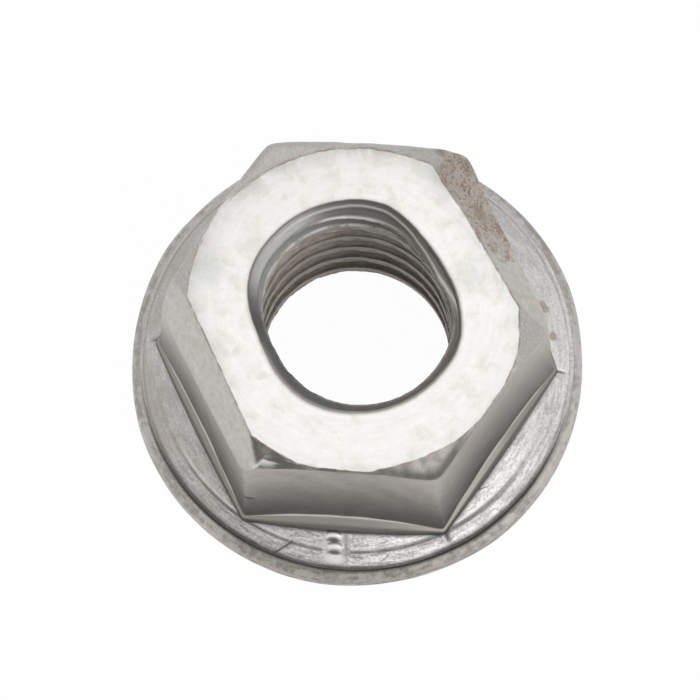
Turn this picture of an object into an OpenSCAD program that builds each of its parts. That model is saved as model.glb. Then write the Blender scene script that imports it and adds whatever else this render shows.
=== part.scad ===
// Hexagon flange lock nut, forged in one piece, with two opposite flats pressed in at the top.
// The bearing face of the flange lies on the plane z = 0, and the thread's axis is the Z axis.
// The thread itself is fine detail, so the bore here is plain, at the thread's minor diameter.

/* [Hexagon] */
// Distance across the flats at the foot of the hexagon
across_flats = 14.29; // [13.7:0.01:14.9]
// How much narrower the hexagon is across the flats at the top face
flat_draft = 0.6; // [0.1:0.05:0.9]
// Overall height, from the bearing face to the top face
nut_height = 9.5; // [8.4:0.1:11.5]
// Diameter of the circle on the top face where the corner chamfer starts
chamfer_circle_d = 14; // [13.2:0.05:14.5]
// Slope of the corner chamfer below the level of the top face, in degrees
chamfer_slope = 34; // [20:1:45]

/* [Flange] */
// Outer diameter of the flange
flange_d = 18.8; // [18.2:0.1:22]
// Height of the rim above the bearing face
rim_height = 1.2; // [0.9:0.05:1.6]
// Radius of the rounding along the rim's upper edge
rim_round = 0.35; // [0.1:0.05:0.5]
// Bevel along the rim's lower edge
rim_bevel = 0.3; // [0.1:0.05:0.4]
// Width of the level ledge inside the rounded edge
ledge_width = 0.2; // [0.05:0.05:0.3]
// Slope of the flange's upper face, in degrees
flange_slope = 29; // [18:1:33]
// Diameter of the shallow ring where the upper face steps up
step_ring_d = 16.4; // [15.6:0.1:17]
// Height of that step
step_height = 0.08; // [0.02:0.01:0.2]

/* [Skirt] */
// How far the skirt stands out from the middle of each flat
skirt_reach = 0.4; // [0.2:0.05:0.8]
// Height at which the skirt runs out on the middle of each flat
skirt_top = 2.95; // [2.6:0.05:3.6]
// Slope of the skirt, in degrees
skirt_slope = 42; // [32:1:48]
// How far the skirt stands out from the hexagon's corners
corner_flare = 0.08; // [0.04:0.01:0.2]

/* [Bore] */
// Diameter of the bore, at the crests of the thread
bore_d = 7.8; // [7.7:0.05:8.1]
// Diameter of the countersink at the bearing face
foot_countersink_d = 9.8; // [9.2:0.1:11]
// Diameter of the chamfered mouth in the top face, along the flats that are squeezed
mouth_d = 9; // [8.8:0.05:10]
// Slope of the countersink and of the mouth's chamfer, in degrees
countersink_slope = 45; // [35:1:55]

/* [Squeezed flats] */
// How far each squeezed flat is pressed in, measured on the top face
press_depth = 0.92; // [0.3:0.02:1.3]
// How far down from the top face each pressed facet reaches
press_reach = 1.9; // [0.8:0.1:3]
// Width of the mouth in the top face between its flattened sides
squeezed_mouth_w = 8; // [7.6:0.02:8.6]
// Width of the bore between its flattened sides, at the level of the top face
squeezed_bore_w = 7.04; // [6.8:0.02:7.4]
// How far down the bore the flattening reaches
squeeze_reach = 3.4; // [2:0.1:4.5]
// Width of the bore the other way, where squeezing has spread it, at the level of the top face
widened_bore_w = 8.16; // [8.12:0.02:8.6]
// How far down the bore its widening reaches
widening_reach = 3; // [1.5:0.1:4]
// Radius of the arc that each flattened side follows
squeeze_radius = 7; // [5.5:0.1:12]

/* [Hidden] */
steel_colour = [0.72, 0.71, 0.69];
$fn = 128;

// The six flats stand at these directions about the axis, and two opposite ones are squeezed
flat_count = 6;
first_flat_angle = 30;
flat_angles = [for (side = [0 : flat_count - 1]) first_flat_angle + side * 360 / flat_count];
squeezed_angles = [flat_angles[0], flat_angles[3]];

flange_r = flange_d / 2;
bore_r = bore_d / 2;
mouth_r = mouth_d / 2;
step_ring_r = step_ring_d / 2;
foot_flat = across_flats / 2;
top_flat = foot_flat - flat_draft / 2;

// Heights on the flange's upper face: it rises from the ledge to the step, and on from the step
ledge_r = flange_r - rim_round - ledge_width;
step_foot_z = rim_height + (ledge_r - step_ring_r) * tan(flange_slope);
step_top_z = step_foot_z + step_height;
flange_inner_r = mouth_r + (top_flat - mouth_r) / 2;
flange_top_z = step_top_z + (step_ring_r - flange_inner_r) * tan(flange_slope);

// The hexagon keeps its full width up to the height where the flange ends at its corners
hexagon_foot_z = step_foot_z;
draft_angle = atan(flat_draft / 2 / (nut_height - hexagon_foot_z));

// The skirt is a cone, bounded in plan by six shallow arcs from corner to corner
foot_corner_r = foot_flat / cos(180 / flat_count);
skirt_corner_r = foot_corner_r + corner_flare;
half_chord = skirt_corner_r * sin(180 / flat_count);
skirt_sagitta = foot_flat + skirt_reach - skirt_corner_r * cos(180 / flat_count);
skirt_arc_r = (half_chord * half_chord + skirt_sagitta * skirt_sagitta) / (2 * skirt_sagitta);

// Each pressed facet leans back from the drafted flat, at its lower end, to the top face
facet_angle = atan(press_depth / press_reach + tan(draft_angle));
// The bore's flattened sides lean in from the round bore to the top face
squeeze_lean = atan((bore_r - squeezed_bore_w / 2) / squeeze_reach);

// Turned shapes start at this angle, clear of the hexagon's corners and the middles of its flats
turning_start = 12;
// Cutters run past the faces they cut by this much
over = 1;
// Blocks that bound or cut the whole nut are this large
block = 2 * flange_d;

// Half space on the inner side of a plane that faces along +X, through (distance, height),
// and leans back by an angle towards the axis as it rises
module inside_plane(distance, height, lean) {
    translate([distance, 0, height])
        rotate([0, -lean, 0])
            translate([-block, -block / 2, -block / 2])
                cube(block);
}

// Round shape about the Z axis
module turned() {
    rotate([0, 0, turning_start])
        children();
}

// Flange: bevelled and rounded rim, level ledge, sloping upper face with its step
module flange() {
    turned()
        rotate_extrude()
            union() {
                polygon([
                    [0, 0],
                    [flange_r - rim_bevel, 0],
                    [flange_r, rim_bevel],
                    [flange_r, rim_height - rim_round],
                    [flange_r - rim_round, rim_height],
                    [ledge_r, rim_height],
                    [step_ring_r, step_foot_z],
                    [step_ring_r, step_top_z],
                    [flange_inner_r, flange_top_z],
                    [0, flange_top_z]
                ]);
                translate([flange_r - rim_round, rim_height - rim_round])
                    circle(r = rim_round);
            }
}

// Upright prism whose six sides are shallow arcs; each cylinder bounds the side opposite its centre
module inside_shallow_arcs() {
    intersection_for (angle = flat_angles)
        rotate([0, 0, angle])
            translate([skirt_arc_r - foot_flat - skirt_reach, 0, 0])
                cylinder(h = nut_height, r = skirt_arc_r);
}

// Skirt at the foot of the hexagon: a cone cut to a hexagon with slightly bulging sides
module skirt() {
    foot_z = rim_height / 2;
    cone_height = skirt_top - foot_z;
    intersection() {
        translate([0, 0, foot_z])
            turned()
                cylinder(h = cone_height, r1 = foot_flat + cone_height / tan(skirt_slope), r2 = foot_flat);
        inside_shallow_arcs();
    }
}

// Hexagon with drafted flats, its corners cut back by the conical chamfer
module hexagon() {
    foot_z = rim_height / 2;
    chamfer_widening = (nut_height - foot_z) / tan(chamfer_slope);
    intersection() {
        translate([0, 0, foot_z])
            turned()
                cylinder(
                    h = nut_height - foot_z,
                    r1 = chamfer_circle_d / 2 + chamfer_widening,
                    r2 = chamfer_circle_d / 2
                );
        intersection_for (angle = flat_angles)
            rotate([0, 0, angle])
                inside_plane(foot_flat, hexagon_foot_z, draft_angle);
    }
}

// What the press tool leaves: the hexagon is kept inside one leaning facet on each squeezed flat
module inside_pressed_facets() {
    intersection_for (angle = squeezed_angles)
        rotate([0, 0, angle])
            inside_plane(top_flat - press_depth, nut_height, facet_angle);
}

// Region between the two flattened sides of the bore, which lean in towards the top face
module between_flattened_sides() {
    intersection_for (angle = squeezed_angles)
        rotate([0, 0, angle])
            translate([squeeze_radius - squeezed_bore_w / 2, 0, nut_height])
                rotate([0, squeeze_lean, 0])
                    translate([0, 0, -2 * nut_height])
                        cylinder(h = 3 * nut_height, r = squeeze_radius);
}

// Bore: round below, and an oval towards the top face, flattened one way and widened the other
module bore() {
    widened_from_z = nut_height - widening_reach;
    widened_r = bore_r + (widened_bore_w / 2 - bore_r) * (widening_reach + over) / widening_reach;
    intersection() {
        turned()
            rotate_extrude()
                polygon([
                    [0, -over],
                    [bore_r, -over],
                    [bore_r, widened_from_z],
                    [widened_r, nut_height + over],
                    [0, nut_height + over]
                ]);
        between_flattened_sides();
    }
}

// Chamfer round the mouth: a cone for the round sides and one for each flattened side
module mouth_chamfer() {
    depth = (mouth_r - bore_r) * tan(countersink_slope);
    narrowing = depth / tan(countersink_slope);
    widening = over / tan(countersink_slope);
    translate([0, 0, nut_height - depth])
        intersection() {
            turned()
                cylinder(h = depth + over, r1 = mouth_r - narrowing, r2 = mouth_r + widening);
            intersection_for (angle = squeezed_angles)
                rotate([0, 0, angle])
                    translate([squeeze_radius - squeezed_mouth_w / 2, 0, 0])
                        cylinder(
                            h = depth + over,
                            r1 = squeeze_radius - narrowing,
                            r2 = squeeze_radius + widening
                        );
        }
}

// Countersink in the bearing face, where the screw enters
module foot_countersink() {
    countersink_r = foot_countersink_d / 2;
    depth = (countersink_r - bore_r) * tan(countersink_slope);
    widening = over / tan(countersink_slope);
    translate([0, 0, -over])
        turned()
            cylinder(h = depth + over, r1 = countersink_r + widening, r2 = bore_r);
}

// The whole nut, one forging
module flange_nut() {
    color(steel_colour)
        difference() {
            union() {
                flange();
                skirt();
                intersection() {
                    hexagon();
                    inside_pressed_facets();
                }
            }
            bore();
            mouth_chamfer();
            foot_countersink();
        }
}

flange_nut();
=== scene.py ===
import math
import bpy
import numpy as np
from mathutils import Matrix, Vector


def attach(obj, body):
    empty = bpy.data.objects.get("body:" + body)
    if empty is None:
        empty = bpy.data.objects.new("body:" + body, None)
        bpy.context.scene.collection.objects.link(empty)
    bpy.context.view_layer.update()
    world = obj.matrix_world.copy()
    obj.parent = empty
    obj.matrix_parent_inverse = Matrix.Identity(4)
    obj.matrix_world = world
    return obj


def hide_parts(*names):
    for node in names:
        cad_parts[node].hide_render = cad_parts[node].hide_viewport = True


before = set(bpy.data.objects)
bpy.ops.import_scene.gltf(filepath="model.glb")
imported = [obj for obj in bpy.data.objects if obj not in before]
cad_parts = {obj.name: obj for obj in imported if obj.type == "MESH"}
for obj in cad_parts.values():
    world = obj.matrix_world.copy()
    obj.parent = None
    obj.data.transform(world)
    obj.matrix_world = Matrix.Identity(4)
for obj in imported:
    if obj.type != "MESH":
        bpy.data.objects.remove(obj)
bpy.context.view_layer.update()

# Sizes of the nut in millimetres: those of the CAD model first, then the bore's and the thread's
MM = 0.001
HEIGHT = 9.5
FLANGE_R = 9.4
RIM_HEIGHT = 1.2
RIM_ROUND = 0.35
RIM_BEVEL = 0.3
LEDGE_R = 8.85
FLANGE_RISE = math.tan(math.radians(29))
STEP_R = 8.2
STEP_HEIGHT = 0.08
FOOT_FLAT = 7.145
TOP_FLAT = 6.845
FLAT_FOOT_Z = 1.56
DRAFT = (FOOT_FLAT - TOP_FLAT) / (HEIGHT - FLAT_FOOT_Z)
SKIRT_TOP = 2.95
SKIRT_FALL = math.tan(math.radians(42))
CORNER_FLARE = 0.08
COUNTERSINK_R = 4.9
COUNTERSINK_Z = 1.02
# Radius at the thread's crests, a trace inside the CAD's bore, and the height where the squeezing starts
BORE_R = 3.88
SQUEEZE_Z = 6.1
PITCH = 1.5875
THREAD_DEPTH = 0.72
# Height of the middle of one thread crest, and the angle about the axis where it was read
CREST_Z = 7.75
CREST_ANGLE = 97.8
# The squeezing has pushed the topmost crests down by this much, growing between two heights
SETTLED = 0.2
SETTLED_FROM = 6.0
SETTLED_TO = 7.6

rad = np.radians


def smoothstep(x, low, high):
    """0 below low, 1 above high, and smooth between them."""
    t = np.clip((x - low) / (high - low), 0, 1)
    return t * t * (3 - 2 * t)


def fade(x, full, none):
    """1 up to full, 0 past none, and smooth between them."""
    return smoothstep(-x, -none, -full)


def band(x, low, low_full, high_full, high):
    """1 between the two full values, 0 below low and above high."""
    return smoothstep(x, low, low_full) * fade(x, high_full, high)


def bell(x, middle, width):
    return np.exp(-((x - middle) / width) ** 2)


def soft_min(a, b, width):
    """Smaller of two values, rounded where they cross."""
    return 0.5 * (a + b - np.sqrt((a - b) ** 2 + width ** 2))


def wrapped(angle):
    return (angle + 180) % 360 - 180


def table(where, pairs):
    """Values at some angles, straight from each pair (angle, value) to the next round the nut."""
    at = np.array([p[0] for p in pairs], float)
    value = np.array([p[1] for p in pairs], float)
    return np.interp(where % 360, np.r_[at[-1] - 360, at, at[0] + 360], np.r_[value[-1], value, value[0]])


def round_table(pairs, spread=8):
    """Values from such pairs for every column of the mesh, smoothed over a spread in degrees."""
    offsets = np.linspace(-spread, spread, 9)
    weight = np.cos(offsets / spread * math.pi / 2) + 0.05
    rows = np.array([table(theta + o, pairs) for o in offsets])
    return (rows * weight[:, None]).sum(0) / weight.sum()


def from_angle(angle):
    """Turn of every column from an angle, without its sign."""
    return np.abs(wrapped(theta - angle))


def wave_noise(seed, waves, amount):
    """Closed noise round the nut for every column: a sum of sines with random phases."""
    rng = np.random.default_rng(seed)
    t = rad(theta)
    total = np.zeros_like(t)
    for count in waves:
        total += rng.uniform(0.5, 1) * np.sin(count * t + rng.uniform(0, 2 * math.pi))
    return amount * total / math.sqrt(len(waves))


# Columns of the mesh: every 0.9 degrees, closer at the corners and at the two pips
angles = list(np.arange(0, 360, 0.9))
for corner in range(0, 360, 60):
    angles += [corner + d for d in (-1.3, -0.6, -0.3, 0.3, 0.6, 1.3)]
angles += list(np.arange(264.2, 271.6, 0.45))
theta = np.unique(np.round(np.mod(angles, 360), 2))
COLUMNS = len(theta)

# Offset from the middle of the nearest flat, and from the next nearest one
offset = np.abs(theta % 60 - 30)
other = 60 - offset
# How much further out the flats stand near the top than their draft says, round the nut
stand_out = round_table([(0, 0.12), (30, 0.2), (60, 0.24), (90, 0.15), (120, 0.14), (150, 0.02), (180, 0.04),
                         (210, 0.04), (240, 0.0), (270, 0.0), (300, 0.0), (330, 0.02)], 12)
# How round each corner is near the top
corner_round = round_table([(0, 0.3), (60, 0.1), (120, 0.22), (180, 0.3), (240, 0.3), (300, 0.3)], 20)


def flat_r(z, hollow=0.0):
    """Radius of the drafted hexagon at height z; its corners are rounder near the top."""
    share = smoothstep(z, FLAT_FOOT_Z + 1, HEIGHT)
    distance = FOOT_FLAT - DRAFT * (z - FLAT_FOOT_Z) + stand_out * share - hollow
    near = distance / np.cos(rad(offset))
    far = distance / np.cos(rad(other))
    return soft_min(near, far, 0.09 + corner_round * share ** 2)


# The ring and the ledge are crisp at the front, and nearly worn away elsewhere
front = fade(from_angle(272), 40, 88)
crisp = 0.03 + 0.3 * (1 - front)


def flange_z(r):
    """Height of the flange's upper face at radius r, with its step and the groove beside it."""
    rise = (LEDGE_R - r) * FLANGE_RISE
    step = STEP_HEIGHT * fade(r, STEP_R - crisp, STEP_R + crisp)
    groove = 0.05 * front * bell(r, STEP_R + 0.05, 0.05)
    return RIM_HEIGHT + rise + step - groove


# Outer edge of the skirt: six shallow arcs from corner to corner, not all standing out as far
reach_of = {30: 0.3, 90: 0.3, 150: 0.3, 210: 0.24, 270: 0.4, 330: 0.25}
skirt_reach = np.array([reach_of[int(t // 60) * 60 + 30] for t in theta])
corner_r = FOOT_FLAT / math.cos(rad(30)) + CORNER_FLARE
half_chord = corner_r / 2
sagitta = FOOT_FLAT + skirt_reach - corner_r * math.cos(rad(30))
arc_r = (half_chord ** 2 + sagitta ** 2) / (2 * sagitta)
arc_back = arc_r - FOOT_FLAT - skirt_reach
skirt_r = np.sqrt(arc_r ** 2 - (arc_back * np.sin(rad(offset))) ** 2) - arc_back * np.cos(rad(offset))


def skirt_z(r):
    """Height of the skirt's slope at radius r."""
    return SKIRT_TOP - (r - FOOT_FLAT) * SKIRT_FALL


# Corner chamfers: radius on the top face and slope, a little different at each corner
ragged = wave_noise(3, (17, 23, 31, 44, 58, 73, 97), 0.022)
chamfer_top = round_table([(0, 6.66), (12, 6.8), (50, 6.9), (60, 6.84), (77, 6.72), (110, 6.72), (137, 6.76),
                           (149, 6.9), (161, 6.78), (180, 6.78), (234, 6.72), (246, 6.74), (257, 6.87),
                           (268, 6.77), (279, 6.9), (290, 6.79), (302, 6.86), (314, 6.93), (338, 6.89),
                           (350, 6.9)], 5)
chamfer_top = chamfer_top + ragged
chamfer_fall = round_table([(0, 0.62), (60, 0.6), (90, 0.7), (120, 0.72), (150, 0.7), (180, 0.67),
                            (240, 0.67), (300, 0.72)], 8)
# The two pressed facets: direction, distance on the top face, lean; each is looked for this far round
FACETS = ((33.5, 5.83, 0.84), (208.7, 5.94, 0.5))
FACET_SPAN = 75
NOT_CUT = 99.0
facet_edge = wave_noise(8, (29, 41, 57, 80, 103), 0.014)


def cut_r(z):
    """Radius left by the chamfers and the pressed facets at height z, then facets alone, chamfers alone."""
    depth = HEIGHT - z
    chamfer = chamfer_top + depth / chamfer_fall
    pressed = np.full(COLUMNS, NOT_CUT)
    for direction, distance, lean in FACETS:
        turn = wrapped(theta - direction)
        reach = np.abs(turn) < FACET_SPAN
        towards_back = smoothstep(turn, 10, 27) * (direction < 90)
        start = distance + facet_edge - 0.1 * towards_back
        line = (start + lean * (1 + 0.6 * towards_back) * depth) / np.cos(rad(np.where(reach, turn, 0)))
        pressed = np.where(reach, np.minimum(pressed, line), pressed)
    turn = wrapped(theta - 90)
    reach = np.abs(turn) < 60
    bevel = (6.78 + facet_edge + 1.5 * depth) / np.cos(rad(np.where(reach, turn, 0)))
    bevel = np.where(reach, bevel, NOT_CUT)
    return np.minimum(np.minimum(chamfer, bevel), pressed), pressed, chamfer


def hollow_at(z):
    """How far the flat sinks in between its foot and the top face."""
    t = np.clip((z - foot_z) / (HEIGHT - foot_z), 0, 1)
    return 0.07 * np.sin(math.pi * t ** 0.8)


def solve(f, low, high):
    """Height where f changes sign, by bisection, for every column."""
    low = np.full(COLUMNS, float(low))
    high = np.full(COLUMNS, float(high))
    for _ in range(30):
        mid = (low + high) / 2
        under = f(mid) < 0
        low = np.where(under, mid, low)
        high = np.where(under, high, mid)
    return (low + high) / 2


foot_z = solve(lambda z: z - skirt_z(flat_r(z)), 0.5, 3.5)
crease_z = solve(lambda z: flat_r(z) - cut_r(z)[0], 4, HEIGHT)
crease_z = np.minimum(crease_z, HEIGHT - 0.16)


def wall_r(z):
    """Radius of the outer wall at height z, above the skirt."""
    return soft_min(flat_r(z, hollow_at(z)), cut_r(z)[0], 0.05)


# Mouth: nearly a circle, flattened on two sides
mouth_r = round_table([(1.6, 4.31), (14, 4.17), (27, 4.03), (39, 3.99), (52, 4.07), (65, 4.28), (77, 4.5),
                       (89, 4.54), (101, 4.52), (125, 4.5), (149, 4.47), (162, 4.46), (174, 4.34),
                       (187, 4.16), (199, 4.01), (211, 3.99), (223, 4.1), (234, 4.2), (246, 4.31),
                       (257, 4.36), (279, 4.39), (290, 4.42), (313, 4.46), (325, 4.48), (337, 4.53),
                       (349, 4.48)], 4)
mouth_r = mouth_r + wave_noise(5, (13, 19, 37, 53), 0.006)
# Radius of the thread's crests at the level of the top face
crest_top = round_table([(0, 4.1), (8, 3.97), (27, 3.55), (40, 3.5), (50, 3.56), (62, 3.73), (76, 3.88),
                         (98, 3.96), (113, 3.99), (125, 3.97), (137, 3.93), (150, 3.88), (162, 3.79),
                         (174, 3.67), (186, 3.52), (198, 3.35), (208, 3.28), (220, 3.34), (231, 3.4),
                         (240, 3.49), (249, 3.57), (257, 3.65), (265, 3.73), (280, 3.84), (295, 3.97),
                         (312, 4.07), (335, 4.13), (348, 4.14)], 5)


def crest_r(z):
    """Radius of the thread's crests at height z: round below, oval towards the top face."""
    share = np.clip((z - SQUEEZE_Z) / (HEIGHT - SQUEEZE_Z), 0, 1)
    return BORE_R + (crest_top - BORE_R) * share


def above_crest(z, turn):
    """Height above the middle of a crest, along the thread, at a turn from where the crest was read."""
    return z - CREST_Z + SETTLED * smoothstep(z, SETTLED_FROM, SETTLED_TO) - PITCH * turn / 360


def thread_r(z):
    """Wall of the threaded bore: flat crests, sloping flanks, rounded roots, right hand."""
    phase = above_crest(z, theta - CREST_ANGLE) / PITCH
    in_pitch = (phase - np.round(phase)) * PITCH
    away = np.abs(in_pitch)
    groove = smoothstep(away, 0.24, 0.7) * 0.45 + np.clip((away - 0.28) / 0.4, 0, 1) * 0.55
    burr = 0.035 * np.exp(-(in_pitch + 0.26) ** 2 / 0.003) + 0.02 * np.exp(-(in_pitch - 0.26) ** 2 / 0.003)
    chipped = 1 + wave_noise(12, (9, 26, 47, 71), 0.35)
    run_out = smoothstep(z, COUNTERSINK_Z - 0.1, COUNTERSINK_Z + 0.2)
    return crest_r(z) + THREAD_DEPTH * groove * run_out - burr * run_out * chipped


# Just under the top face the chamfer is the wall everywhere, whatever the thread does
CLEAR_CHAMFER = 0.1


def inner_r(z):
    """Wall of the bore: the mouth's chamfer, or the thread where that is cut deeper."""
    chamfer = mouth_r - (HEIGHT - z)
    return np.where(z > HEIGHT - CLEAR_CHAMFER, chamfer, np.maximum(chamfer, thread_r(z)))


# Rows of the mesh: radius, height and zone of each row, going round the nut's section from the bearing
# face over the rim, flange, skirt, flats and top face into the bore
rows_r = []
rows_z = []
zones = []
ZONES = ("bearing", "rim", "ledge", "flange", "drop", "skirt", "flat", "cut", "top", "mouth", "bore")


def row(r, z, zone):
    rows_r.append(np.broadcast_to(r, COLUMNS).astype(float))
    rows_z.append(np.broadcast_to(z, COLUMNS).astype(float))
    zones.append(ZONES.index(zone))


for t in np.linspace(0, 1, 4):
    row(COUNTERSINK_R + 0.03 + t * (FLANGE_R - RIM_BEVEL - COUNTERSINK_R - 0.05), 0.0, "bearing")
for t in np.linspace(0.1, 1, 5):
    a = t * math.pi / 2
    row(FLANGE_R - RIM_BEVEL * (1 - math.sin(a)), RIM_BEVEL * (1 - math.cos(a)), "rim")
for t in (0.35, 0.7):
    row(FLANGE_R, RIM_BEVEL + t * (RIM_HEIGHT - RIM_ROUND - RIM_BEVEL), "rim")
for t in np.linspace(0, 1, 7):
    a = t * math.pi / 2
    row(FLANGE_R - RIM_ROUND * (1 - math.cos(a)), RIM_HEIGHT - RIM_ROUND * (1 - math.sin(a)), "rim")
dip_share = (1 + wave_noise(21, (3, 5, 11, 19), 0.25)) * (0.15 + 0.85 * front)
for r, dip in ((9.0, 0.0), (8.95, 0.035), (8.9, 0.06), (8.86, 0.05), (8.82, 0.015)):
    row(r, np.where(r < LEDGE_R, flange_z(r), RIM_HEIGHT) - dip * dip_share, "ledge")
FLANGE_START = 8.8
for t in np.linspace(0, 1, 27)[1:]:
    r = FLANGE_START + t * (skirt_r + 0.015 - FLANGE_START)
    row(r, flange_z(r), "flange")
for t in (0.15, 0.5, 0.85):
    low = flange_z(skirt_r)
    row(skirt_r, low + t * (skirt_z(skirt_r) - low), "drop")
skirt_inner = flat_r(foot_z)
for t in np.linspace(0.03, 1, 6):
    r = skirt_r + t * (skirt_inner - skirt_r)
    row(r, skirt_z(r) - 0.03 * (t < 0.1), "skirt")
ridge_row = len(rows_r) - 1
for t in (0.04, 0.12, 0.25, 0.45):
    z = foot_z + t
    row(wall_r(z), z, "flat")
for t in np.linspace(0, 1, 19)[1:]:
    z = foot_z + 0.45 + t * (crease_z - 0.1 - foot_z - 0.45)
    row(wall_r(z), z, "flat")
for t in np.linspace(-0.07, 0.07, 6):
    z = crease_z + t
    row(wall_r(z), z, "flat" if t < 0 else "cut")
for t in np.linspace(0, 1, 9)[1:]:
    z = crease_z + 0.07 + t * (HEIGHT - 0.05 - crease_z - 0.07)
    row(wall_r(z), z, "cut")
top_r = wall_r(np.full(COLUMNS, HEIGHT))
row(top_r - 0.008, HEIGHT - 0.022, "cut")
row(top_r - 0.03, HEIGHT - 0.004, "top")
for t in np.linspace(0, 1, 9):
    row(top_r - 0.06 + t * (mouth_r + 0.16 - top_r + 0.06), HEIGHT, "top")
for t in (0.1, 0.045):
    row(mouth_r + t, HEIGHT, "top")
row(mouth_r + 0.012, HEIGHT - 0.008, "top")
for t in (0.03, 0.06, 0.099):
    row(mouth_r - t, HEIGHT - t, "mouth")
MOUTH_FOOT = HEIGHT - 1.0
bore_heights = np.r_[np.linspace(HEIGHT - 0.11, MOUTH_FOOT, 24), np.linspace(MOUTH_FOOT, COUNTERSINK_Z, 84)[1:]]
for z in bore_heights:
    row(inner_r(z), z, "bore")
for t in (0.3, 0.7):
    row(BORE_R + t * (COUNTERSINK_R - BORE_R), COUNTERSINK_Z * (1 - t), "mouth")

R = np.array(rows_r)
Z = np.array(rows_z)
ROWS = len(R)
zone = np.repeat(np.array(zones)[:, None], COLUMNS, 1)
T = np.repeat(theta[None, :], ROWS, 0)


def is_zone(*names):
    return np.isin(zone, [ZONES.index(n) for n in names])


def dome(angle, radius, half_turn, half_width, power=1.0):
    """Rounded bump over an ellipse on the flange: 1 in its middle and 0 at its edge."""
    across = wrapped(T - angle) * math.pi / 180 * radius / half_turn
    along = (R - radius) / half_width
    return np.clip(1 - across ** 2 - along ** 2, 0, 1) ** power


# Small marks of the forging on the flange: two pips on a pad, three cracks and a low ridge, with painted shade
# under the pips, beside the pad and in the cracks
on_flange = is_zone("flange", "ledge")
pips = np.maximum(dome(267.4, 7.71, 0.34, 0.19, 0.6), dome(268.0, 8.13, 0.34, 0.19, 0.6))
pip_shadows = np.maximum(dome(267.4, 7.87, 0.33, 0.09, 0.4), dome(268.0, 8.3, 0.33, 0.09, 0.4))
pad = fade(rad(from_angle(268.2)) * 8.2, 0.5, 0.62) * band(R, 7.5, 7.56, 8.72, 8.82)
recess_shade = fade(from_angle(268.6), 3.4, 4.6) * fade(R, 7.56, 7.66)
pad_edge_shade = 0.5 * bell(wrapped(T - 271.5), 0, 1.2) * band(R, 7.5, 7.6, 8.6, 8.75)
ridge = bell(wrapped(T - 299.4), 0, 0.9) * band(R, 7.9, 8.1, 8.4, 8.75)
lift = 0.2 * pips + 0.04 * pad + 0.05 * dome(268.3, 8.54, 0.45, 0.17, 0.5) + 0.06 * ridge
flange_crevice_shade = np.maximum.reduce([pip_shadows, recess_shade, pad_edge_shade])
for angle, inner, outer, depth in ((178.5, 8.2, 8.68, 0.07), (0.4, 8.2, 8.8, 0.08), (300.6, 8.1, 8.8, 0.09)):
    crack = bell(wrapped(T - angle), 0, 0.5) * band(R, inner - 0.05, inner, outer - 0.35, outer)
    lift -= depth * crack
    flange_crevice_shade = np.maximum(flange_crevice_shade, crack)
lift = lift * on_flange
flange_crevice_shade = flange_crevice_shade * on_flange

# The flange's edge isn't quite round
worn = round_table([(0, -0.05), (8, -0.07), (24, 0), (40, -0.03), (60, -0.08), (90, -0.05), (120, -0.08),
                    (140, -0.13), (152, -0.05), (168, -0.1), (184, -0.09), (200, 0), (240, 0), (264, 0),
                    (280, -0.07), (296, -0.07), (312, 0), (330, -0.02)], 6)
R = R + worn * smoothstep(R, 8.85, 9.25) * is_zone("bearing", "rim", "ledge", "flange")

# Slow unevenness of the forging, none on the bearing face
SWELL = 0.006
SWELL_WAVES = 14
rng = np.random.default_rng(17)
swell = np.zeros_like(R)
for _ in range(SWELL_WAVES):
    k, m, p = rng.integers(2, 40), rng.uniform(0.5, 5), rng.uniform(0, 2 * math.pi)
    swell += np.sin(k * rad(T) + m * (R + Z) + p)
swell = SWELL * swell / math.sqrt(SWELL_WAVES / 2)
Z = np.maximum(Z + lift + swell * is_zone("rim", "ledge", "flange", "skirt"), 0)
R = R + swell * is_zone("flat", "cut", "drop")

verts = np.stack([R * np.cos(rad(T)), R * np.sin(rad(T)), Z], -1).reshape(-1, 3) * MM
i = np.arange(ROWS)[:, None]
j = np.arange(COLUMNS)[None, :]
i2 = (i + 1) % ROWS
j2 = (j + 1) % COLUMNS
quads = np.stack([i * COLUMNS + j, i * COLUMNS + j2, i2 * COLUMNS + j2, i2 * COLUMNS + j], -1).reshape(-1, 4)

mesh = bpy.data.meshes.new("nut_forging")
mesh.from_pydata(verts.tolist(), [], quads.tolist())
mesh.update()
mesh.polygons.foreach_set("use_smooth", [True] * len(mesh.polygons))
nut = bpy.data.objects.new("nut_forging", mesh)
bpy.context.scene.collection.objects.link(nut)

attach(nut, "root")
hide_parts("flange_nut")

# Masks from here on: each is a value from 0 to 1 for every point of the mesh, and the material reads them

# Chamfer of the mouth: where it is the wall, and the edge where it meets the thread
inside_mouth = mouth_r - R
over_thread = np.array([mouth_r - (HEIGHT - z[0]) - thread_r(z[0]) for z in Z])
near_mouth = is_zone("bore") * (Z > MOUTH_FOOT)
on_chamfer = np.maximum(smoothstep(over_thread, -0.03, 0.02) * near_mouth, is_zone("mouth"))
chamfer_edge = bell(over_thread, 0.01, 0.05) * near_mouth

# Painted shade in crevices: foot of the skirt and of the rim, ledge, step, mouth, and the line below the corner
# chamfers
foot_shade = round_table([(0, 0.25), (30, 0.15), (60, 0.15), (150, 0.1), (180, 0.2), (210, 0.35), (240, 0.8),
                         (270, 1.0), (300, 1.0), (330, 0.9), (350, 0.5)], 10)
drop_shade = 0.9 * is_zone("drop") * foot_shade
by_drop_shade = 0.8 * np.clip(1 - (R - skirt_r) / 0.14, 0, 1) * is_zone("flange") * foot_shade
ledge_shade = np.clip(1.2 * bell(R, 8.89, 0.13) * is_zone("ledge", "flange", "rim") * front, 0, 0.95)
step_shadow = 0.85 * bell(R, STEP_R + 0.05, 0.06) * is_zone("flange") * front ** 2 * (1 - 0.7 * pad)
rim_foot_shade = 0.45 * is_zone("rim") * fade(Z, 0.1, 0.28)
mouth_rim = bell(inside_mouth, 0, 0.03) * is_zone("top", "mouth") * (Z > MOUTH_FOOT)
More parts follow.
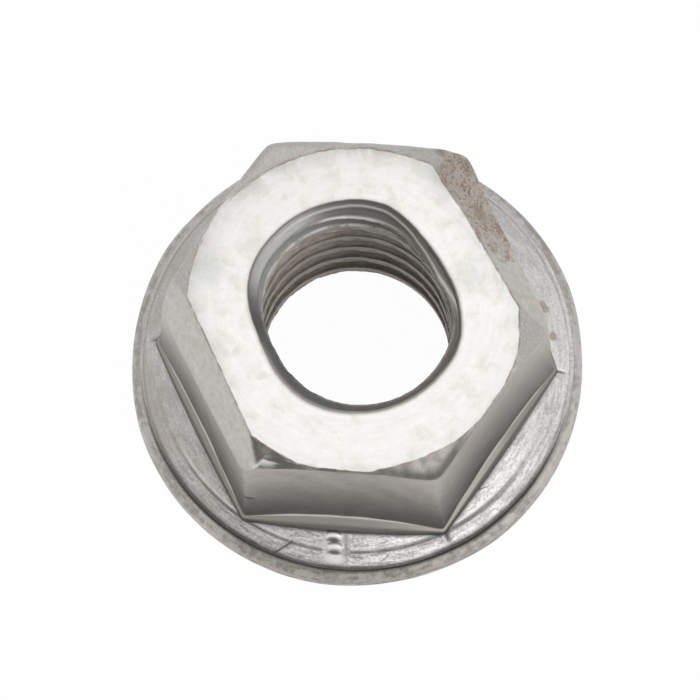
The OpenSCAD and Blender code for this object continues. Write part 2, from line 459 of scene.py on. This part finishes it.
mouth_rim = mouth_rim * round_table([(0, 0.2), (60, 0.5), (75, 0.75), (180, 0.75), (200, 0.3), (270, 0.1)])
mouth_line = 0.5 * fade(from_angle(84), 22, 36) * on_chamfer * (Z > MOUTH_FOOT) * bell(inside_mouth, 0.3, 0.04)
below_cut = bell(Z - crease_z, 0.1, 0.15) * is_zone("flat", "cut")
below_cut = below_cut * round_table([(0, 0.0), (60, 0.0), (105, 0.2), (125, 0.3), (140, 0.0), (255, 0.2),
                                     (272, 0.5), (289, 0.75), (300, 0.95), (311, 0.8), (320, 0.1),
                                     (340, 0.0)], 4)
crevice_shade = np.maximum.reduce([flange_crevice_shade, drop_shade, by_drop_shade, ledge_shade, step_shadow, rim_foot_shade, mouth_rim,
                             mouth_line, below_cut])

# Flange and rim: painted highlights on the pips, the pad and the ring, painted light by side, and how strongly
# the tool marks show
flange_highlights = np.maximum(np.clip(pips * 2, 0, 1), 0.8 * dome(268.3, 8.54, 0.48, 0.19, 0.3))
flange_highlights = flange_highlights * (1 - 0.95 * pip_shadows)
ring_light = 0.5 * bell(R, STEP_R - 0.06, 0.05) * front ** 2 * (1 - pad)
flange_highlights = np.maximum(flange_highlights, ring_light) * on_flange
flange_painted_light = round_table([(0, 0.84), (30, 0.7), (60, 0.56), (120, 0.56), (180, 0.6), (210, 0.57), (240, 0.5),
                           (262, 0.64), (280, 0.68), (300, 0.5), (330, 0.54), (345, 0.68)], 12)
flange_painted_light = flange_painted_light * (1 - 0.3 * (1 - front) * band(R, 8.75, 8.85, 9.05, 9.15))
flange_contrast = round_table([(0, 0.3), (60, 0.15), (120, 0.1), (180, 0.15), (210, 0.28), (232, 0.4),
                               (250, 0.62), (285, 0.6), (310, 0.5), (340, 0.42)], 10)

# Flats: place between foot and crease, painted light on some flats and at the front corner, and a painted
# highlight along the skirt's upper edge
rise = np.clip((Z - foot_z) / (crease_z - foot_z), 0, 1)
rise = np.where(is_zone("skirt"), (R - skirt_inner) / (skirt_r - skirt_inner), rise)
flat_painted_light = round_table([(0, 0.42), (20, 0.45), (160, 0.5), (178, 0.7), (190, 0.5), (200, 0.4), (215, 0.3),
                          (238, 0.2), (300, 0.12), (318, 0.0), (345, 0.28)], 4)
front_corner_light = 0.45 * bell(wrapped(theta - 300), 0, 5) * rise ** 2
flat_painted_light = np.maximum(flat_painted_light, front_corner_light) * is_zone("flat")
ridge_highlight = np.zeros_like(R)
ridge_highlight[ridge_row:ridge_row + 2] = fade(offset, 20, 29)

# Corner chamfers and pressed facets: share of each, painted light by corner, painted glints, and the edge of
# the top face
_, pressed_r, chamfer_r = cut_r(Z)
pressed = smoothstep(chamfer_r - ragged - pressed_r + facet_edge, -0.2, 0.35) * is_zone("cut")
pressed = pressed * np.where(from_angle(FACETS[0][0]) < FACET_SPAN, 1.0, 0.5)
chamfer_painted_light = round_table([(0, 0.9), (60, 0.8), (90, 1.0), (120, 1.0), (180, 0.9), (210, 0.3), (240, 0.1),
                             (270, 0.2), (300, 0.3), (316, 0.4), (330, 0.7)], 8)
edge_row = zones.index(ZONES.index("top"))
edge_line = np.zeros_like(R)
edge_line[edge_row - 1:edge_row + 1] = 1
rear_left = fade(from_angle(158), 20, 30)
crease_glints = bell(Z - crease_z, 0.2, 0.1) * is_zone("cut") * fade(from_angle(249), 5, 10)
crease_glints = np.maximum(crease_glints, edge_line * rear_left)
edge_line = edge_line * (1 - 0.7 * rear_left)

# Top face: painted shade at its margin, and a dark halo of painted shade round the mouth
top_edge_shade = np.clip(1 - (top_r - R) / 1.1, 0, 1) ** 2 * is_zone("top")
top_edge_shade = top_edge_shade * round_table([(0, 0.3), (60, 0.7), (120, 1.0), (160, 1.0), (210, 0.3), (240, 0.15),
                                       (330, 0.15)], 15)
mouth_halo_shade = is_zone("top") * np.clip(1 + inside_mouth / 0.15, 0, 1)
mouth_halo_shade = mouth_halo_shade * round_table([(0, 0.7), (60, 0.5), (80, 0.15), (170, 0.2), (200, 0.5), (225, 0.7),
                                       (300, 0.7)])

# Chamfer of the mouth: painted light by side, darker at the left edge and lighter at the front edge, and
# painted highlight lines
mouth_painted_light = round_table([(0, 0.2), (30, 0.18), (60, 0.13), (78, 0.13), (98, 0.16), (112, 0.24), (125, 0.45),
                           (150, 0.56), (166, 0.56), (178, 0.24), (190, 0.14), (225, 0.2), (270, 0.26),
                           (330, 0.22)], 5)
left_edge = round_table([(0, 0.0), (85, 0.0), (105, 0.6), (165, 0.6), (185, 0.0)], 6)
front_edge = round_table([(0, 0.0), (200, 0.0), (220, 0.3), (300, 0.34), (330, 0.2), (345, 0.0)], 8)
mouth_painted_light = mouth_painted_light * (0.75 + 0.7 * np.clip(inside_mouth, 0, 0.6))
mouth_painted_light = mouth_painted_light * (1 - left_edge * bell(inside_mouth, 0, 0.06))
mouth_painted_light = mouth_painted_light * (1 - 0.8 * left_edge * smoothstep(inside_mouth, 0.34, 0.5))
mouth_painted_light = mouth_painted_light + front_edge * bell(inside_mouth, 0, 0.1)
foot_highlight = chamfer_edge * round_table([(0, 0.0), (45, 0.0), (70, 0.5), (90, 0.8), (100, 1.0), (112, 1.0),
                                         (125, 0.5), (150, 0.15), (180, 0.3), (200, 0.4), (225, 0.2),
                                         (250, 0.1), (330, 0.0)], 5)
line_depth = round_table([(0, 0.38), (18, 0.38), (40, 0.28), (60, 0.22), (90, 0.2), (180, 0.2), (330, 0.34)], 8)
highlight_line = bell(HEIGHT - Z, line_depth, 0.036) * is_zone("mouth", "bore")
highlight_line = highlight_line * round_table([(0, 0.78), (25, 0.72), (50, 0.55), (120, 0.55), (140, 0.25), (155, 0.0),
                                       (308, 0.0), (325, 0.45), (345, 0.75)], 5)
mouth_highlights = np.maximum(foot_highlight, highlight_line)

# Bore: painted light on the wall, painted highlights on the crests' lips, and painted light on the first
# groove, above the topmost whole crest
bore_painted_light = round_table([(0, 0.75), (60, 0.6), (98, 0.55), (125, 0.85), (150, 1.0), (180, 1.0), (200, 0.55),
                          (270, 0.4)], 8)
lip_painted_highlight = round_table([(0, 0.25), (50, 0.3), (80, 0.6), (100, 0.9), (125, 1.0), (160, 1.0), (180, 0.6),
                         (200, 0.4)], 8)
lip_painted_highlight = lip_painted_highlight * (0.32 + 0.68 * smoothstep(Z, 6.0, 6.9))
upper = is_zone("bore") * smoothstep(above_crest(Z, wrapped(T - CREST_ANGLE)), 0.22, 0.36)
upper_painted_light = round_table([(0, 0.17), (50, 0.15), (80, 0.13), (100, 0.14), (125, 0.23), (155, 0.36),
                           (175, 0.34), (190, 0.18), (205, 0.15), (270, 0.14)], 6)


def paint(name, *three_masks):
    """Keeps three masks as one colour attribute of the mesh."""
    data = np.ones((ROWS * COLUMNS, 4), np.float32)
    for k, mask in enumerate(three_masks):
        data[:, k] = np.clip(np.broadcast_to(mask, R.shape).astype(float), 0, 1).reshape(-1)
    layer = mesh.attributes.new(name, "FLOAT_COLOR", "POINT")
    layer.data.foreach_set("color", data.reshape(-1))


paint("zones_a", is_zone("top"), is_zone("cut"), pressed)
paint("zones_b", on_flange, is_zone("rim", "bearing"), is_zone("bore", "mouth"))
paint("zones_c", is_zone("flat", "skirt") * rise, crevice_shade, on_chamfer)
paint("zones_d", mouth_highlights, is_zone("skirt"), is_zone("cut") * chamfer_painted_light)
paint("zones_e", flange_highlights, pad * on_flange, ridge_highlight)
paint("zones_f", edge_line, flange_painted_light, flange_contrast)
paint("zones_g", mouth_painted_light, bore_painted_light, lip_painted_highlight)
paint("zones_h", flat_painted_light, top_edge_shade, crease_glints)
paint("zones_i", upper, upper_painted_light, mouth_halo_shade)


# Tools for node trees
def start_tree(owner):
    """Empties the node tree of a material or world, and lets link and make work in it."""
    global tree
    owner.use_nodes = True
    tree = owner.node_tree
    tree.nodes.clear()


def link(value, socket):
    if isinstance(value, bpy.types.NodeSocket):
        tree.links.new(value, socket)
    elif value is not None:
        socket.default_value = value


def make(kind, *values, **settings):
    n = tree.nodes.new("ShaderNode" + kind)
    for key, value in settings.items():
        setattr(n, key, value)
    for socket, value in zip(n.inputs, values):
        link(value, socket)
    return n


def calc(operation, a, b=None):
    return make("Math", a, b, operation=operation).outputs[0]


def times(a, *more):
    for b in more:
        a = calc("MULTIPLY", a, b)
    return a


def plus(a, b):
    return calc("ADD", a, b)


def less(a, b):
    return calc("SUBTRACT", a, b)


def weighted(a, share_a, b, share_b):
    return plus(times(a, share_a), times(b, share_b))


def span(value, low, high, to_low=0.0, to_high=1.0):
    """Value taken smoothly from the range low to high to another range, by default 0 to 1."""
    n = make("MapRange", value, low, high, to_low, to_high, interpolation_type="SMOOTHSTEP", clamp=True)
    return n.outputs[0]


def line_at(value, middle, full, none):
    """1 where a value is within full of the middle, and 0 past none."""
    return span(calc("ABSOLUTE", less(value, middle)), full, none, 1.0, 0.0)


def mixed(data_type, first_input, output, share, a, b):
    n = tree.nodes.new("ShaderNodeMix")
    n.data_type = data_type
    link(share, n.inputs[0])
    link(a, n.inputs[first_input])
    link(b, n.inputs[first_input + 1])
    return n.outputs[output]


def blend_colour(share, a, b):
    return mixed("RGBA", 6, 2, share, a, b)


def blend_value(share, a, b):
    return mixed("FLOAT", 2, 0, share, a, b)


def noise(vector, scale, detail=3.0, rough=0.55, distort=0.0):
    n = make("TexNoise")
    link(vector, n.inputs["Vector"])
    n.inputs["Scale"].default_value = scale
    n.inputs["Detail"].default_value = detail
    n.inputs["Roughness"].default_value = rough
    n.inputs["Distortion"].default_value = distort
    return n.outputs[0]


def masks(name):
    colour = make("Attribute", attribute_name=name).outputs["Color"]
    return make("SeparateColor", colour).outputs[:3]


def rgb(red, green, blue):
    return (red, green, blue, 1.0)


def tinted(value, red, green, blue):
    """Colour made of one value, with its share in each channel."""
    return make("CombineXYZ", times(value, red), times(value, green), times(value, blue)).outputs[0]


def scaled(colour, value):
    """Colour multiplied by one value."""
    return make("VectorMath", colour, tinted(value, 1.0, 1.0, 1.0), operation="MULTIPLY").outputs[0]


# Steel, in one material for the whole forging
steel = bpy.data.materials.new("forged_steel")
start_tree(steel)
is_top, is_cut, is_pressed = masks("zones_a")
is_flange, is_rim, is_bore = masks("zones_b")
up_flat, is_crevice_shade, is_mouth = masks("zones_c")
is_mouth_highlight, is_skirt, cut_lighting = masks("zones_d")
is_flange_highlight, is_pad, is_ridge_highlight = masks("zones_e")
is_edge, flange_lighting, contrast = masks("zones_f")
mouth_lighting, bore_lighting, lip_highlight_amount = masks("zones_g")
flat_lighting, edge_shade_share, at_crease = masks("zones_h")
is_upper, upper_lighting, halo_shade = masks("zones_i")

# Position in millimetres, and the same in turned coordinates: round the axis, outwards, up
in_mm = make("VectorMath", make("TexCoord").outputs["Object"], operation="SCALE")
in_mm.inputs["Scale"].default_value = 1 / MM
in_mm = in_mm.outputs[0]
x_mm, y_mm, z_mm = make("SeparateXYZ", in_mm).outputs
from_axis = make("CombineXYZ", x_mm, y_mm, 0.0).outputs[0]
r_mm = make("VectorMath", from_axis, operation="LENGTH").outputs["Value"]
turn = calc("ARCTAN2", y_mm, x_mm)
unit_x, unit_y, _ = make("SeparateXYZ", make("VectorMath", from_axis, operation="NORMALIZE").outputs[0]).outputs


def streak_space(round_scale, out_scale):
    """Space in which noise turns into streaks that run round the nut."""
    outwards_or_up = weighted(r_mm, out_scale, z_mm, out_scale)
    return make("CombineXYZ", times(unit_x, round_scale), times(unit_y, round_scale), outwards_or_up).outputs[0]


def spot(px, py, pz, radius, soft=0.6):
    """Round spot about a place given in millimetres, its edge broken by noise."""
    gap = make("VectorMath", in_mm, (px, py, pz), operation="DISTANCE").outputs["Value"]
    gap = plus(gap, times(less(edge_noise, 0.5), radius * 1.2))
    return span(gap, radius * soft, radius, 1.0, 0.0)


def scratch(x0, y0, x1, y1, width):
    """Thin line across the flange between two places seen from above, in millimetres."""
    length = math.hypot(x1 - x0, y1 - y0)
    cx, cy = (x1 - x0) / length, (y1 - y0) / length
    dx, dy = less(x_mm, (x0 + x1) / 2), less(y_mm, (y0 + y1) / 2)
    along = calc("ABSOLUTE", weighted(dx, cx, dy, cy))
    across = calc("ABSOLUTE", less(times(dy, cx), times(dx, cy)))
    within = span(along, length / 2 - 0.1, length / 2, 1.0, 0.0)
    return times(within, span(across, width / 2, width, 1.0, 0.0), is_flange)


# Noises: even ones, and streaks left by the tools
fine = noise(in_mm, 9.0, 4.0, 0.65)
grain = noise(in_mm, 3.2, 5.0, 0.7)
cloud = noise(in_mm, 0.55, 3.0, 0.5)
edge_noise = noise(in_mm, 1.6, 4.0, 0.65)
mottle = noise(in_mm, 1.1, 4.0, 0.6, 0.4)
speckle = noise(in_mm, 8.0, 3.0, 0.65)
lay = noise(streak_space(3.0, 7.0), 1.0, 4.0, 0.7)
lay_fine = noise(streak_space(9.0, 18.0), 1.0, 3.0, 0.7)
grain_and_fine = weighted(grain, 0.5, fine, 0.5)

# Top face: mottled, stained in three places, with painted shade at its margin, towards the back and round the
# mouth
STAIN = rgb(0.56, 0.585, 0.56)
top_colour = blend_colour(span(mottle, 0.48, 0.72), rgb(0.85, 0.835, 0.81), rgb(0.75, 0.725, 0.68))
stains = calc("MAXIMUM", spot(3.2, 5.9, HEIGHT, 1.5, 0.1), spot(-6.2, 1.3, HEIGHT, 1.4, 0.1))
top_colour = blend_colour(times(stains, 0.55), top_colour, STAIN)
brown_spot = times(spot(-3.1, 4.4, HEIGHT, 0.2, 0.2), span(fine, 0.35, 0.6), 0.4)
top_colour = blend_colour(brown_spot, top_colour, rgb(0.55, 0.45, 0.35))
broken_edge_shade = times(edge_shade_share, span(weighted(grain, 0.5, mottle, 0.5), 0.3, 0.6), 0.95)
top_colour = blend_colour(broken_edge_shade, top_colour, rgb(0.46, 0.45, 0.425))
rear_shade = times(span(weighted(y_mm, 0.8, x_mm, -0.6), 1.0, 6.0), 0.18)
top_colour = blend_colour(rear_shade, top_colour, rgb(0.52, 0.51, 0.49))
top_colour = blend_colour(times(span(fine, 0.5, 0.7), 0.2), top_colour, rgb(0.60, 0.58, 0.55))
top_colour = blend_colour(times(spot(4.6, 1.67, HEIGHT, 1.1, 0.1), 0.35), top_colour, STAIN)
top_colour = scaled(top_colour, plus(0.79, times(grain_and_fine, 0.42)))
top_colour = blend_colour(halo_shade, top_colour, rgb(0.24, 0.22, 0.2))

# Flats and skirt: painted shade, dark at the foot and lighter towards the crease
flat_colour = blend_colour(span(up_flat, 0.0, 1.0), rgb(0.085, 0.083, 0.077), rgb(0.44, 0.395, 0.36))
flat_colour = blend_colour(times(span(mottle, 0.4, 0.65), 0.3), flat_colour, rgb(0.21, 0.2, 0.185))
flat_colour = blend_colour(flat_lighting, flat_colour, rgb(0.43, 0.41, 0.385))
flat_colour = scaled(flat_colour, plus(0.56, times(grain_and_fine, 0.9)))
skirt_colour = blend_colour(span(up_flat, 0.55, 0.98), rgb(0.34, 0.315, 0.29), rgb(0.13, 0.118, 0.105))

# Corner chamfers as shaded and lit copies mixed by painted light, and pressed facets
cut_shaded = blend_colour(span(mottle, 0.36, 0.66), rgb(0.11, 0.104, 0.096), rgb(0.3, 0.29, 0.27))
cut_lit = blend_colour(span(fine, 0.35, 0.65), rgb(0.54, 0.525, 0.495), rgb(0.66, 0.645, 0.615))
cut_colour = blend_colour(cut_lighting, cut_shaded, cut_lit)
press_colour = blend_colour(span(grain, 0.35, 0.7), rgb(0.57, 0.55, 0.515), rgb(0.47, 0.445, 0.41))
broken_edge = times(is_edge, span(edge_noise, 0.42, 0.6), 0.8)
glints = times(at_crease, span(noise(streak_space(2.4, 6.0), 1.0, 3.0, 0.6), 0.49, 0.56))

# Flange: streaks and thin dark lines from the tools, painted sparkle, painted light by side, brown stain at the
# left, lighter pad and painted highlights on the pips
streaks = plus(weighted(lay_fine, 0.5, fine, 0.3), times(lay, 0.2))
streaks = less(span(streaks, 0.41, 0.59), 0.5)
sparkle = times(span(noise(in_mm, 11.0, 2.0, 0.6), 0.56, 0.7), 0.12)
shade = plus(1.0, plus(times(streaks, contrast, 1.1), times(less(fine, 0.5), 0.35)))
shade = times(plus(shade, sparkle), flange_lighting)
line_noise = noise(streak_space(2.4, 6.0), 1.0, 2.0, 0.5)
thin_lines = times(line_at(line_noise, 0.5, 0.004, 0.016), span(contrast, 0.25, 0.7))
shade = calc("MINIMUM", times(shade, less(1.0, times(thin_lines, 0.45))), 0.97)
flange_colour = tinted(shade, 1.0, 0.985, 0.965)
brown = times(span(weighted(cloud, 0.5, lay, 0.5), 0.42, 0.6), span(x_mm, -3.0, -7.0), 0.45)
flange_colour = blend_colour(brown, flange_colour, rgb(0.44, 0.37, 0.30))
flange_colour = blend_colour(times(is_pad, 0.65), flange_colour, rgb(0.72, 0.71, 0.69))
flange_colour = blend_colour(times(is_flange_highlight, 0.95), flange_colour, rgb(0.95, 0.94, 0.92))

# Rim: darker at the front
rim_front = span(contrast, 0.35, 0.6)
rim_dark = blend_colour(rim_front, rgb(0.40, 0.385, 0.36), rgb(0.27, 0.245, 0.22))
rim_light = blend_colour(rim_front, rgb(0.60, 0.585, 0.56), rgb(0.48, 0.45, 0.415))
rim_colour = blend_colour(span(weighted(lay, 0.5, grain, 0.5), 0.42, 0.58), rim_dark, rim_light)

# Thread: place in the pitch, from the middle of a crest upwards in millimetres, then painted highlights on the
# lips and painted shade in the roots
settled_z = plus(z_mm, times(span(z_mm, SETTLED_FROM, SETTLED_TO), SETTLED))
turns = less(calc("DIVIDE", turn, 2 * math.pi), CREST_ANGLE / 360)
phase = less(calc("DIVIDE", less(settled_z, CREST_Z), PITCH), turns)
in_pitch = times(less(calc("FRACT", plus(phase, 0.5)), 0.5), PITCH)
LIP = 0.27
# Painted shade in the roots of the thread
root = span(calc("ABSOLUTE", in_pitch), 0.32, 0.62)
lower_lip = line_at(in_pitch, -LIP, 0.02, 0.09)
upper_lip = times(line_at(in_pitch, LIP, 0.02, 0.08), span(z_mm, 7.2, 7.6))
broken_lip = plus(0.35, times(span(weighted(edge_noise, 0.6, grain, 0.4), 0.40, 0.56), 0.65))
painted_lip_highlight = times(calc("MAXIMUM", lower_lip, upper_lip), lip_highlight_amount, broken_lip)

# Bore and the chamfer of its mouth: painted light by side, browner at the right
right_side = span(x_mm, -1.5, 2.0)
wall_noise = span(weighted(grain, 0.6, lay, 0.4), 0.35, 0.65)
bore_colour = blend_colour(wall_noise, rgb(0.34, 0.285, 0.235), rgb(0.52, 0.455, 0.39))
bore_colour = blend_colour(root, bore_colour, rgb(0.22, 0.172, 0.136))
bore_colour = scaled(bore_colour, bore_lighting)
upper_tint = [blend_value(right_side, *pair) for pair in ((1.0, 1.08), (1.0, 0.94), (0.95, 0.82))]
upper_colour = tinted(times(upper_lighting, plus(0.8, times(grain, 0.4))), *upper_tint)
bore_colour = blend_colour(is_upper, bore_colour, upper_colour)
bore_colour = blend_colour(painted_lip_highlight, bore_colour, rgb(0.93, 0.91, 0.88))
mouth_tint = [blend_value(right_side, *pair) for pair in ((1.0, 1.06), (0.99, 0.97), (0.95, 0.87))]
mouth_colour = tinted(times(mouth_lighting, plus(0.85, times(grain, 0.3))), *mouth_tint)

# Rust on the pressed facet at the back, and a few specks on the flange below it
on_right = span(is_pressed, 0.55, 0.95)
rust_patches = plus(0.3, times(span(weighted(speckle, 0.65, mottle, 0.35), 0.46, 0.6), 0.85))
rust = times(on_right, rust_patches, span(plus(y_mm, times(less(mottle, 0.5), 4.0)), 2.4, 3.6))
RUST_SPOTS = ((2.96, 6.8, 8.8, 0.45), (5.0, 4.6, 9.0, 0.7), (7.6, 1.66, 1.8, 0.3), (8.08, 1.49, 1.7, 0.25),
              (7.6, 2.7, 1.8, 0.35))
for px, py, pz, radius in RUST_SPOTS:
    rust = calc("MAXIMUM", rust, times(spot(px, py, pz, radius), less(1.0, is_top), 0.8))
rust_colour = blend_colour(span(fine, 0.35, 0.65), rgb(0.14, 0.085, 0.048), rgb(0.36, 0.25, 0.165))

# A nick in the front left corner, and two scratches on the flange
nick = make("VectorMath", in_mm, (-3.93, -6.93, 4.5), operation="SUBTRACT").outputs[0]
nick = make("VectorMath", nick, (2.8, 1.6, 7.5), operation="MULTIPLY").outputs[0]
nick = span(make("VectorMath", nick, operation="LENGTH").outputs["Value"], 0.6, 1.1, 1.0, 0.0)
scratches = calc("MAXIMUM", scratch(-2.83, -8.44, -1.99, -7.92, 0.06), scratch(4.9, -5.6, 5.9, -5.1, 0.03))

# All colours, each laid over those before it
colour = flat_colour
for share, layer_colour in (
    (is_skirt, skirt_colour),
    (is_cut, cut_colour),
    (span(is_pressed, 0.1, 0.45), press_colour),
    (is_flange, flange_colour),
    (is_rim, rim_colour),
    (is_top, top_colour),
    (is_bore, bore_colour),
    (is_mouth, mouth_colour),
    (times(is_mouth_highlight, 0.95), rgb(0.92, 0.89, 0.85)),
    (times(is_ridge_highlight, 0.8), rgb(0.66, 0.65, 0.61)),
    (broken_edge, rgb(0.36, 0.26, 0.2)),
    (glints, rgb(0.9, 0.89, 0.87)),
    (times(rust, 0.8), rust_colour),
    (times(is_crevice_shade, 0.9), rgb(0.055, 0.047, 0.04)),
    (times(nick, 0.95), rgb(0.03, 0.027, 0.024)),
    (times(scratches, 0.7), rgb(0.06, 0.055, 0.05)),
):
    colour = blend_colour(share, colour, layer_colour)

# Roughness, metal and relief
rough = blend_value(is_top, 0.36, 0.42)
rough = plus(rough, times(less(lay, 0.5), 0.25))
rough = plus(rough, times(rust, 0.3))
for share, value in ((is_flange, 0.36), (is_rim, 0.55), (is_bore, 0.42)):
    rough = blend_value(share, rough, value)
metal = less(1.0, times(rust, 0.8))
for share, loss in ((is_crevice_shade, 0.5), (is_bore, 0.72), (is_flange_highlight, 0.6)):
    metal = times(metal, less(1.0, times(share, loss)))
height = weighted(lay, 0.3, lay_fine, 0.5)
flange_relief = times(is_flange, plus(0.2, times(contrast, 0.35)))
height = times(height, plus(0.06, calc("MAXIMUM", flange_relief, times(is_rim, 0.3))))
height = plus(height, times(fine, 0.22))
height = plus(height, times(grain, is_cut, 0.4))
height = less(height, times(nick, 1.5))
bump = make("Bump")
bump.inputs["Strength"].default_value = 0.55
bump.inputs["Distance"].default_value = 0.04 * MM
link(height, bump.inputs["Height"])

shader = make("BsdfPrincipled")
link(colour, shader.inputs["Base Color"])
link(metal, shader.inputs["Metallic"])
link(rough, shader.inputs["Roughness"])
link(bump.outputs[0], shader.inputs["Normal"])
make("OutputMaterial", shader.outputs[0])
mesh.materials.append(steel)


# Floor: white to the camera, with a faint share of the real light so that it keeps the shadow
FLOOR_HALF = 2.0
FLOOR_GLOW = 0.975
floor_mesh = bpy.data.meshes.new("floor")
floor_corners = [(x * FLOOR_HALF, y * FLOOR_HALF, 0) for x, y in ((-1, -1), (1, -1), (1, 1), (-1, 1))]
floor_mesh.from_pydata(floor_corners, [], [(0, 1, 2, 3)])
floor = bpy.data.objects.new("floor", floor_mesh)
bpy.context.scene.collection.objects.link(floor)
paper = bpy.data.materials.new("white_paper")
start_tree(paper)
matt = make("BsdfDiffuse", rgb(0.86, 0.86, 0.855)).outputs[0]
glow = make("Emission", rgb(1, 1, 1), 1.0).outputs[0]
path = make("LightPath").outputs
mirrored = calc("MAXIMUM", path["Is Glossy Ray"], path["Is Transmission Ray"])
seen = calc("MAXIMUM", path["Is Camera Ray"], mirrored)
make("OutputMaterial", make("MixShader", times(seen, FLOOR_GLOW), matt, glow).outputs[0])
floor_mesh.materials.append(paper)

# World: white to the camera, and softer as a light
WORLD_LIGHT = 0.74
world = bpy.data.worlds.new("studio")
bpy.context.scene.world = world
start_tree(world)
path = make("LightPath").outputs
seen = calc("MAXIMUM", path["Is Camera Ray"], path["Is Transmission Ray"])
soft = make("Background", rgb(1, 1, 1), WORLD_LIGHT).outputs[0]
white = make("Background", rgb(1, 1, 1), 1.0).outputs[0]
make("OutputWorld", make("MixShader", seen, soft, white).outputs[0])


def soft_light(name, place, aim, size, power):
    data = bpy.data.lights.new(name, "AREA")
    data.shape = "DISK"
    data.size = size
    data.energy = power
    lamp = bpy.data.objects.new(name, data)
    lamp.location = place
    lamp.rotation_euler = (Vector(aim) - Vector(place)).to_track_quat("-Z", "Y").to_euler()
    bpy.context.scene.collection.objects.link(lamp)


soft_light("overhead", (0.0, 0.12, 0.45), (0, 0, 0), 0.4, 0.23)
soft_light("front_right", (0.28, -0.24, 0.26), (0, 0, 0.004), 0.42, 0.45)

# Camera at the photograph's viewing angle: tilt, roll and spin in degrees, distance in millimetres,
# scale at the foot of the nut's axis, and the pixel where that foot lies
TILT = 75.0
ROLL = -3.6
SPIN = -7.77
DISTANCE = 299.6
PX_PER_MM = 24.05
CENTRE_X = 357.15
CENTRE_Y = 367.9
FRAME_PX = 700
SENSOR = 36


def photo_camera():
    tilt = rad(TILT)
    roll = rad(ROLL)
    back = Vector((0, -math.cos(tilt), math.sin(tilt)))
    level = Vector((1, 0, 0))
    upright = back.cross(level)
    right = level * math.cos(roll) + upright * math.sin(roll)
    up = upright * math.cos(roll) - level * math.sin(roll)
    stand = back * DISTANCE
    stand -= right * ((CENTRE_X - FRAME_PX / 2) / PX_PER_MM)
    stand += up * ((CENTRE_Y - FRAME_PX / 2) / PX_PER_MM)
    turn_back = Matrix.Rotation(rad(-SPIN), 3, "Z")
    axes = Matrix((turn_back @ right, turn_back @ up, turn_back @ back)).transposed()
    data = bpy.data.cameras.new("camera")
    data.sensor_width = SENSOR
    data.lens = PX_PER_MM * DISTANCE / FRAME_PX * SENSOR
    data.clip_start = 0.01
    data.clip_end = 20
    camera = bpy.data.objects.new("camera", data)
    camera.matrix_world = Matrix.Translation(turn_back @ stand * MM) @ axes.to_4x4()
    bpy.context.scene.collection.objects.link(camera)
    return camera


bpy.context.scene.camera = photo_camera()
bpy.context.scene.view_settings.view_transform = "Standard"
